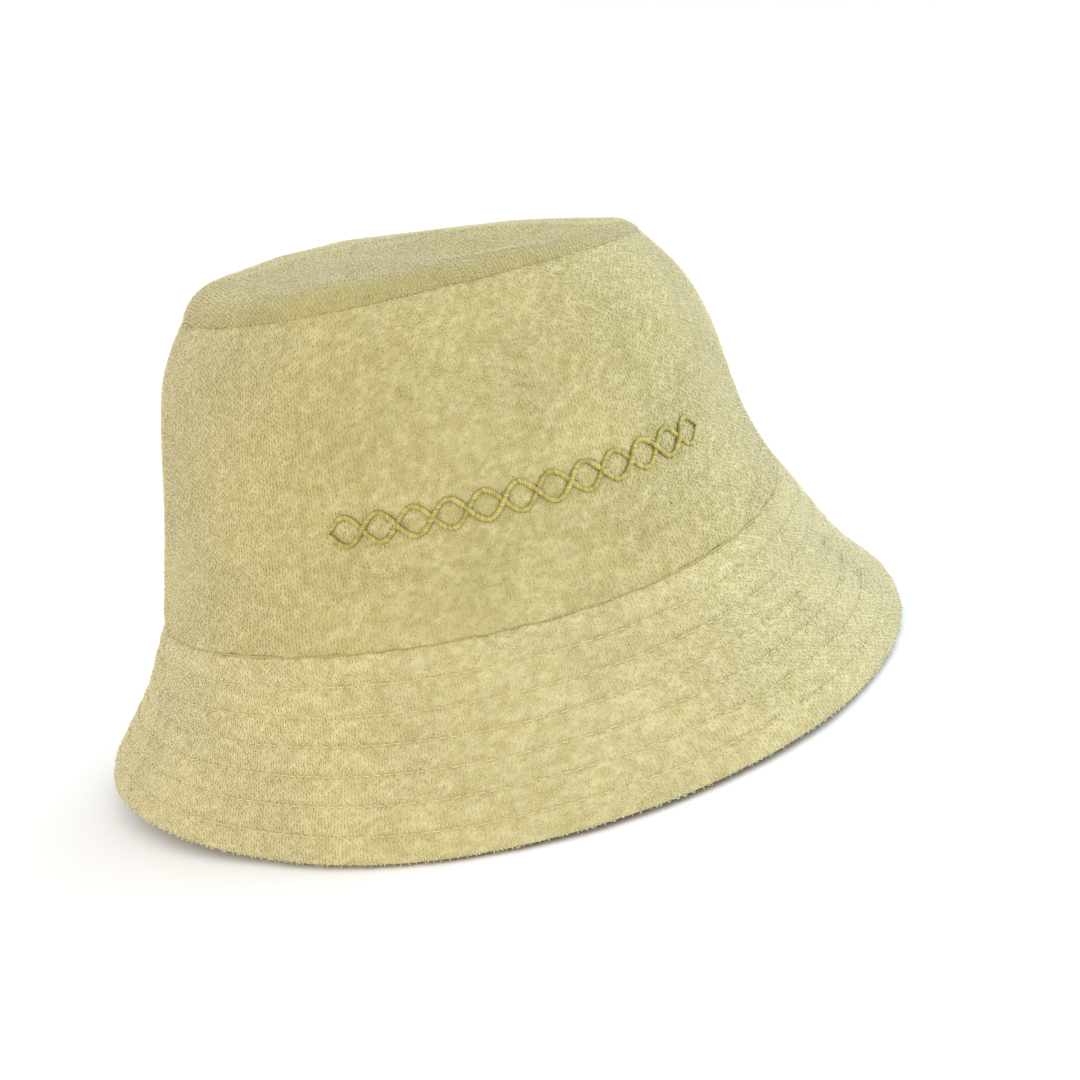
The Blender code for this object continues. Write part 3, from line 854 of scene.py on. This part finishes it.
def end_fans(size, count):
    """Triangles that shut both ends of a tube with this many lines of this many points, each
    fan round a middle point that comes after them."""
    first, hub = np.arange(size) * count, np.full(size, size * count)
    last = first + count - 1
    near = np.stack([hub, first, np.roll(first, -1)], -1)
    far = np.stack([hub + 1, np.roll(last, -1), last], -1)
    return np.concatenate([near, far])


def tube(name, path, radius, sides, closed):
    """A thread as a round tube along a path. The ring at each point stands square to it."""
    step = np.gradient(path, axis=0)
    if closed:
        step = np.roll(path, -1, axis=0) - np.roll(path, 1, axis=0)
    along = unit(step)
    guide = np.where(np.abs(along[:, 2:]) > 0.7, [1.0, 0.0, 0.0], [0.0, 0.0, 1.0])
    side = unit(np.cross(along, guide))
    up = np.cross(side, along)
    turn = np.linspace(0, TURN, sides + 1)[:-1][:, None, None]
    rings = path + radius * (np.cos(turn) * side + np.sin(turn) * up)
    quads, bake = grid_faces(sides, len(path), closed_rows=True, closed_columns=closed)
    triangles = None
    points = rings.reshape(-1, 3)
    if not closed:
        points = np.concatenate([points, path[:1], path[-1:]])
        triangles = end_fans(sides, len(path))
    return new_piece(name, points, quads, bake, triangles)


around = np.linspace(0, TURN, 961)[:-1]
wobble = 0.12 * MM * lumps(around, 0 * around, 200, 9 * MM, 51)
base_line = crown_side(around, np.zeros_like(around), 1.55 * MM + wobble)
tip_line = crown_side(around, np.ones_like(around), 1.25 * MM + wobble)
base_seam = tube("base_seam_line", base_line, 0.3 * MM, 6, True)
stand_for(base_seam, seam_thread, "base_seam_thread")
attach(base_seam, "hat")
tip_seam = tube("tip_seam_line", tip_line, 0.28 * MM, 6, True)
stand_for(tip_seam, seam_thread, "tip_seam_thread")
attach(tip_seam, "tip")
for side, middle in (("right", 0.0), ("left", math.pi)):
    up = np.linspace(0.012, 0.988, 140)
    line = crown_side(np.full_like(up, middle), up, 1.0 * MM)
    seam = tube(f"side_seam_line_{side}", line, 0.26 * MM, 6, False)
    stand_for(seam, seam_thread, f"side_seam_thread_{side}")
    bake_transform(seam)


def stitches(name, middles, along, up, length, radius):
    """Stitches on a row: each a five-sided tube that arches over the cloth and dives into it."""
    place = np.array([-1.0, -0.8, -0.3, 0.3, 0.8, 1.0]) * length / 2
    lift = np.array([-1.7, 0.1, 0.75, 0.75, 0.1, -1.7]) * radius
    girth = np.array([0.6, 0.95, 1.05, 1.05, 0.95, 0.6]) * radius
    turn = np.linspace(0, TURN, 6)[:-1]
    side = np.cross(along, up)
    rise = lift[:, None] + girth[:, None] * np.cos(turn)
    spread = girth[:, None] * np.sin(turn)
    points = (
        middles[:, None, None]
        + place[None, :, None, None] * along[:, None, None]
        + rise[None, :, :, None] * up[:, None, None]
        + spread[None, :, :, None] * side[:, None, None]
    )
    count, rings, sides = points.shape[:3]
    quads, bake = grid_faces(rings, sides, closed_columns=True)
    last = (rings - 1) * sides
    ends = [[0, k + 1, k] for k in (1, 2, 3)]
    ends = np.array(ends + [[last, last + k, last + k + 1] for k in (1, 2, 3)])
    offset = np.arange(count)[:, None, None] * rings * sides
    tile = np.stack([np.arange(count) % 32, np.arange(count) // 32], -1)[:, None, None] / 32.0
    every_bake = np.broadcast_to(bake[None] / 36.0 + tile, (count, *bake.shape))
    return new_piece(
        name,
        points.reshape(-1, 3),
        (quads[None] + offset).reshape(-1, 4),
        every_bake.reshape(-1, 4, 2),
        (ends[None] + offset).reshape(-1, 3),
    )


STITCH_SUNK = 0.53 * MM
random = np.random.default_rng(61)
for k, needles in enumerate(row_needles, 1):
    share = k / BRIM_ROWS
    parts = []
    for depth, out in ((STITCH_SUNK, 1.0), (UNDER_DEPTH - STITCH_SUNK, -1.0)):
        middle = (needles[:-1] + needles[1:]) / 2 + (0 if out > 0 else 0.012)
        here = brim_layer(middle, np.full_like(middle, share), depth)
        ahead = brim_layer(middle + 0.004, np.full_like(middle, share), depth)
        below = brim_layer(middle, np.full_like(middle, share + 0.02), depth)
        along = unit(ahead - here)
        up = unit(np.cross(here - below, along) * -1)
        lean = random.normal(0, 0.035, len(middle))[:, None]
        turned = unit(along + lean * np.cross(up, along))
        here = here + up * (random.normal(0, 0.07 * MM, len(middle))[:, None])
        parts.append((here, turned, up * out))
    middles, along, up = (np.concatenate(part) for part in zip(*parts))
    row = stitches(f"brim_stitches_{k}", middles, along, up, 2.05 * MM, 0.15 * MM)
    stand_for(row, thread, f"brim_stitch_row_{k}")
    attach(row, "hat")

# Embroidery across the front: a plain two-strand twist, and the backing sheet behind it.
# Each strand is a satin-stitched cord of rayon thread: close stitches lie across it, slightly
# slanted, and round over its middle. The upper strand passes over the lower at every crossing.
rayon, tree, shader = new_material("rayon_embroidery_thread")
# the ridge value runs from dark olive, as painted shade, to light yellow, as painted highlight
ridge = add(tree, "ShaderNodeAttribute", give="Fac", attribute_name="ridge")
tone = add(tree, "ShaderNodeValToRGB", {"Fac": ridge}, ((0.1, "#877b2d"), (0.9, "#d3c870")))
tree.links.new(tone, shader.inputs["Base Color"])
shader.inputs["Roughness"].default_value = 0.42
shader.inputs["Sheen Weight"].default_value = 0.1


def satin_strand(name, side, crosses_over):
    """One strand: a rounded section carried along the sine line, with a ridge for each thread."""
    count = 1500
    angle = FRONT + np.linspace(-EMBROIDERY_HALF_ANGLE, EMBROIDERY_HALF_ANGLE, count)
    rise = strand_height(angle, side)
    share = (EMBROIDERY_LIFT + rise) / WALL_HEIGHT
    path = crown_side(angle, share, 0.45 * MM)
    run = np.concatenate([[0], np.cumsum(np.linalg.norm(np.diff(path, axis=0), axis=1))])
    across = np.linspace(-1, 1, 9)[:, None]
    out = unit(crown_side(angle, share, -1 * MM) - path)
    wide = unit(np.cross(out, unit(np.gradient(path, axis=0))))
    taper = np.clip(np.minimum(run, run[-1] - run) / (1.2 * MM), 0.02, 1) ** 0.5
    phase = run[None] / (0.55 * MM) + across * 0.5
    thread_ridge = np.abs(np.sin(math.pi * phase)) ** 0.6
    random = np.random.default_rng(71 + side)
    each_thread = random.uniform(-1, 1, 400)
    thread_number = np.clip(np.floor(phase).astype(int) + 2, 0, 399)
    over = np.zeros(count)
    if crosses_over:
        beside = np.clip(np.abs(strand_height(angle, 1)) / EMBROIDERY_WAVE, 0, 1)
        over = 0.55 * MM * np.exp(-((np.arccos(beside) - math.pi / 2) ** 2) / 0.5)
    crown = np.sqrt(np.clip(1 - across**2, 0, 1))
    round_over = 0.36 * MM * crown + 0.13 * MM * thread_ridge * (0.3 + crown)
    lift = 0.1 * MM + over[None] + round_over * taper
    edge = EMBROIDERY_WIDTH / 2 * taper * (1 + 0.1 * each_thread[thread_number[4]])
    top = path + wide * (across * edge)[..., None] + out * lift[..., None]
    sunk = out * (over[None, :, None] - 0.45 * MM)
    low = path + wide * (across[::4] * edge * 0.9)[..., None] + sunk
    rows = np.concatenate([top, low[::-1]])[::-1]
    quads, bake = grid_faces(len(rows), count, closed_rows=True)
    points = rows.reshape(-1, 3)
    points = np.concatenate([points, rows[:, 0].mean(0)[None], rows[:, -1].mean(0)[None]])
    triangles = end_fans(len(rows), count)
    # painted highlight on each thread's ridge and the strand's rounded middle, varying at random
    # from thread to thread; painted shade between the threads, at the edges and on the sunk
    # underside
    shine = thread_ridge * (0.35 + 0.65 * crown) * (0.72 + 0.28 * each_thread[thread_number])
    height = np.concatenate([shine, np.full((3, count), 0.0)])[::-1]
    values = {"ridge": np.concatenate([height.ravel(), [0.0, 0.0]])}
    return new_piece(name, points, quads, bake, triangles, values)


for level, side in (("lower", 1), ("upper", -1)):
    strand = satin_strand(f"embroidered_strand_{level}", side, level == "upper")
    stand_for(strand, rayon, f"embroidery_strand_{level}")
    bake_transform(strand)


def lining_panel(name, start, end, low, high, depth, thickness, columns, rows):
    """A thin woven panel behind the crown side, between two angles and two shares of height."""
    angle = np.linspace(start, end, columns)[None, :]
    share = np.linspace(low, high, rows)[:, None]
    face = crown_side(angle, share, depth)
    back = crown_side(angle, share, depth + thickness)
    grain = np.stack(np.broadcast_arrays(angle * 80 * MM, share * WALL_SLANT), axis=-1)
    return cloth_panel(name, face, back, grain=(grain, grain))


backing = lining_panel(
    "embroidery_backing_sheet",
    FRONT - 1.06 * EMBROIDERY_HALF_ANGLE,
    FRONT + 1.06 * EMBROIDERY_HALF_ANGLE,
    (EMBROIDERY_LIFT - 8.7 * MM) / WALL_HEIGHT,
    (EMBROIDERY_LIFT + 8.7 * MM) / WALL_HEIGHT,
    2.1 * MM,
    0.35 * MM,
    90,
    8,
)
stand_for(backing, nonwoven, "embroidery_backing")
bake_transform(backing)

# Lining of the crown: two side panels and the oval tip.
# Thin cotton in plain weave, about 22 threads to the centimetre, so that it looks smooth and
# matt with a fine grid.
def thread_places(tree):
    """Distances across and along a cloth in metres, from the cloth's own map."""
    cloth_map = add(tree, "ShaderNodeUVMap", uv_map="Weave")
    return [add(tree, "ShaderNodeSeparateXYZ", {0: cloth_map}, give=axis) for axis in "XY"]


def thread_wave(tree, run, pitch):
    """The sine of a distance, one wave to each pitch."""
    turns = add(tree, "ShaderNodeMath", {0: run, 1: TURN / pitch}, operation="MULTIPLY")
    return add(tree, "ShaderNodeMath", {0: turns}, operation="SINE")


def woven_look(tree, shader, wave, dark, light, strength, depth):
    """A weave's colour and bump, from a wave between -1 and 1."""
    height = add(tree, "ShaderNodeMapRange", {"Value": wave, "From Min": -1.0, "From Max": 1.0})
    tone = add(tree, "ShaderNodeValToRGB", {"Fac": height}, ((0.0, dark), (1.0, light)))
    cloth_look(tree, shader, tone, height, strength, depth)


cotton, tree, shader = new_material("plain_weave_cotton")
waves_both_ways = [thread_wave(tree, run, 0.9 * MM) for run in thread_places(tree)]
checks = add(tree, "ShaderNodeMath", dict(enumerate(waves_both_ways)), operation="MULTIPLY")
woven_look(tree, shader, checks, "#cdc293", "#e6dfb9", 0.35, 0.1 * MM)
shader.inputs["Roughness"].default_value = 0.85

for half, start in (("front", -math.pi), ("back", 0.0)):
    ends = (start + 0.002, start + math.pi - 0.002)
    lining = lining_panel(f"crown_lining_{half}", *ends, 0.008, 0.86, 2.8 * MM, 0.5 * MM, 160, 30)
    stand_for(lining, cotton, f"lining_{half}")
    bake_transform(lining)

tip_angle, out_share = square_to_disc(
    np.linspace(-1, 1, 61)[None, :], np.linspace(-1, 1, 75)[:, None]
)
lining_run = TIP_RADIUS * (1 - out_share)
upper = tip_cover(tip_angle, lining_run, 2.9 * MM)
lower = tip_cover(tip_angle, lining_run, 3.4 * MM)
rows, columns = upper.shape[:2]
quads, bake = grid_faces(rows, columns)
rim = square_rim(rows, columns)
next_rim = np.roll(rim, -1)
far = rows * columns
edge_quads = np.stack([rim, rim + far, next_rim + far, next_rim], axis=-1)
all_quads = np.concatenate([quads, quads[:, ::-1] + far, edge_quads])
side_by_side = [bake * [0.5, 1.0], bake[:, ::-1] * [0.5, 1.0] + [0.5, 0.0]]
bake_map = np.concatenate([*side_by_side, np.zeros((len(edge_quads), 4, 2))])
points = np.concatenate([upper.reshape(-1, 3), lower.reshape(-1, 3)])
grain = points[all_quads][..., :2]
tip_lining = new_piece("tip_lining_oval", points, all_quads, bake_map, weave=grain)
stand_for(tip_lining, cotton, "lining_top")
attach(tip_lining, "tip")

# Sweatband and the stitch row along its top.
# A strip of cotton twill folded lengthways, sewn in at the base seam and turned up inside the
# crown. Twill has fine diagonal ribs, about 1 mm apart.
twill, tree, shader = new_material("cotton_twill")
diagonal = add(tree, "ShaderNodeMath", dict(enumerate(thread_places(tree))), operation="ADD")
ribs = thread_wave(tree, diagonal, 1.3 * MM)
woven_look(tree, shader, ribs, "#cbc296", "#e9e3c2", 0.5, 0.15 * MM)
shader.inputs["Roughness"].default_value = 0.85

BAND_TOP = 0.44  # share of the crown's height
BAND_DEPTH, BAND_HALF = 4.1 * MM, 0.5 * MM  # its middle, and half of its thickness
band_angle = np.linspace(0, TURN, 241)[:-1][None, :]
fold = np.linspace(0, math.pi / 2, 4)[:, None]
flat_share = np.linspace(0.006, BAND_TOP, 16)[:, None]
band_share = np.concatenate([flat_share, BAND_TOP + 0.007 * np.sin(fold[1:])])
folded = BAND_HALF * np.cos(np.concatenate([np.zeros((16, 1)), fold[1:]]))
outer_depth, inner_depth = BAND_DEPTH - folded, BAND_DEPTH + folded
band = cloth_ring(
    "sweatband_strip",
    crown_side(band_angle, band_share, outer_depth),
    crown_side(band_angle, band_share[:-1], inner_depth[:-1]),
    grain_scale=(0.52, 0.062),
)
stand_for(band, twill, "sweatband")
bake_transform(band)

row_share = BAND_TOP - 2.5 * MM / WALL_SLANT
row_depth = BAND_DEPTH + BAND_HALF + 0.05 * MM


def band_row(angle, depth=row_depth):
    """The line of the stitch row round the sweatband, at a depth inside the crown side."""
    return crown_side(angle, np.full_like(angle, row_share), depth)


needles = needle_angles(band_row, STITCH_PITCH)
middle = (needles[:-1] + needles[1:]) / 2
here, ahead, inside = band_row(middle), band_row(middle + 0.004), band_row(middle, row_depth + MM)
band_stitches = stitches(
    "sweatband_stitches", here, unit(ahead - here), unit(inside - here), 2.3 * MM, 0.18 * MM
)
stand_for(band_stitches, thread, "sweatband_stitch")
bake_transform(band_stitches)

# Care label and size label.
# Plain white woven satin tabs, folded double, caught in the base seam at the back. They hang free
# inside the brim from their sewn edge. They carry no lettering.
satin, tree, shader = new_material("woven_satin_label")
picks = thread_wave(tree, thread_places(tree)[1], 0.5 * MM)
woven_look(tree, shader, picks, "#e4e3dc", "#f7f6f1", 0.3, 0.06 * MM)
shader.inputs["Roughness"].default_value = 0.42

LABEL_TUCK = 2.2 * MM  # the end that is caught in the seam
joints = {joint["name"]: joint for joint in frame["record"]["behaviour"]["joints"]}
for tab, body, (width, drop) in (
    ("care_label", "care_tab", (18 * MM, 25 * MM)),
    ("size_label", "size_tab", (12 * MM, 14 * MM)),
):
    joint = joints[f"{tab}_flap"]
    hinge, axis = np.array(joint["pos_m"]), np.array(joint["axis"])
    across_axis = unit(axis)
    outward = np.array([across_axis[1], -across_axis[0], 0.0])
    outward = outward if outward[1] > 0 else -outward
    wide = np.linspace(-0.5, 0.5, 13)[None, :, None] * width
    fall = np.linspace(-LABEL_TUCK, drop, 34)
    free_share = np.clip(fall, 0, None) / drop
    tucked = np.clip(-fall / LABEL_TUCK, 0, 1)
    sway = 1.3 * MM * tucked**1.4 + 0.25 * MM * np.sin(free_share * 2.6)
    ripple = np.sin(np.linspace(0, 5, 13))[None, :, None]
    flutter = 0.2 * MM * ripple * free_share[:, None, None]
    middle = hinge + outward * sway[:, None] + np.array([0, 0, -1.0]) * fall[:, None]
    sheet_points = middle[:, None] + across_axis * wide + outward * flutter
    thickness = outward * 0.2 * MM
    outer = (sheet_points + thickness)[::-1]
    inner = (sheet_points - thickness)[::-1]
    flat = np.stack(np.broadcast_arrays(wide[..., 0], -fall[::-1][:, None]), axis=-1)
    tab_piece = cloth_panel(f"{tab}_tab", outer, inner, grain=(flat, flat))
    stand_for(tab_piece, satin, tab)
    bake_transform(tab_piece)

# Floor, light and camera.
# A plain white floor and a white surround, one broad cool light from the right and above, and a
# weak warm one from the left, as in a small product studio.
floor_mesh = bpy.data.meshes.new("studio_floor")
FLOOR_HALF = 30.0
floor_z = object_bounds()[0].z - 0.1 * MM
signs = ((-1, -1), (1, -1), (1, 1), (-1, 1))
corners = [(FLOOR_HALF * x, FLOOR_HALF * y, floor_z) for x, y in signs]
floor_mesh.from_pydata(corners, [], [(0, 1, 2, 3)])
floor = bpy.data.objects.new("studio_floor", floor_mesh)
bpy.context.scene.collection.objects.link(floor)
white, tree, shader = new_material("white_studio_paper")
shader.inputs["Base Color"].default_value = srgb("#fbfbfb")
shader.inputs["Roughness"].default_value = 0.9
floor_mesh.materials.append(white)

world = bpy.data.worlds.new("studio_surround")
bpy.context.scene.world = world
world.use_nodes = True
surround = world.node_tree.nodes["Background"]
surround.inputs["Color"].default_value = srgb("#ffffff")
surround.inputs["Strength"].default_value = 1.04


def studio_light(name, place, aim, size, power, colour):
    """A square area light at a place, turned towards a point."""
    data = bpy.data.lights.new(name, "AREA")
    data.size, data.energy, data.color = size, power, srgb(colour)[:3]
    light = bpy.data.objects.new(name, data)
    bpy.context.scene.collection.objects.link(light)
    light.location = place
    light.rotation_mode = "QUATERNION"
    light.rotation_quaternion = (Vector(aim) - Vector(place)).to_track_quat("-Z", "Y")


studio_light("key_light", (1.25, -0.12, 0.55), (0, 0, 0.06), 2.4, 24.0, "#c6dcff")
studio_light("warm_fill", (-1.0, -0.7, 0.5), (0, 0, 0.06), 0.8, 2.4, "#ffd9a8")

YAW, PITCH, ROLL = math.radians(-13.68), math.radians(13.69), math.radians(16.2)
DISTANCE, SLIDE, RAISE = 537.0 * MM, -27.21 * MM, 28.57 * MM
look = np.array([0, 0, SEAM_Z + 30 * MM])
back_way = np.array([math.sin(YAW), -math.cos(YAW), math.tan(PITCH)]) * math.cos(PITCH)
level = np.array([math.cos(YAW), math.sin(YAW), 0.0])
upright = np.cross(back_way, level)
right_way = level * math.cos(ROLL) - upright * math.sin(ROLL)
up_way = level * math.sin(ROLL) + upright * math.cos(ROLL)
spot = look + DISTANCE * back_way - SLIDE * right_way - RAISE * up_way
camera_data = bpy.data.cameras.new("camera")
camera_data.lens = 36 * 2157.8 / 1080
camera_data.clip_start, camera_data.clip_end = 0.01, 100
camera = bpy.data.objects.new("camera", camera_data)
bpy.context.scene.collection.objects.link(camera)
columns = np.stack([right_way, up_way, back_way, spot], axis=1)
camera.matrix_world = Matrix([*columns.tolist(), [0, 0, 0, 1]])
bpy.context.scene.camera = camera
bpy.context.scene.view_settings.view_transform = "Standard"
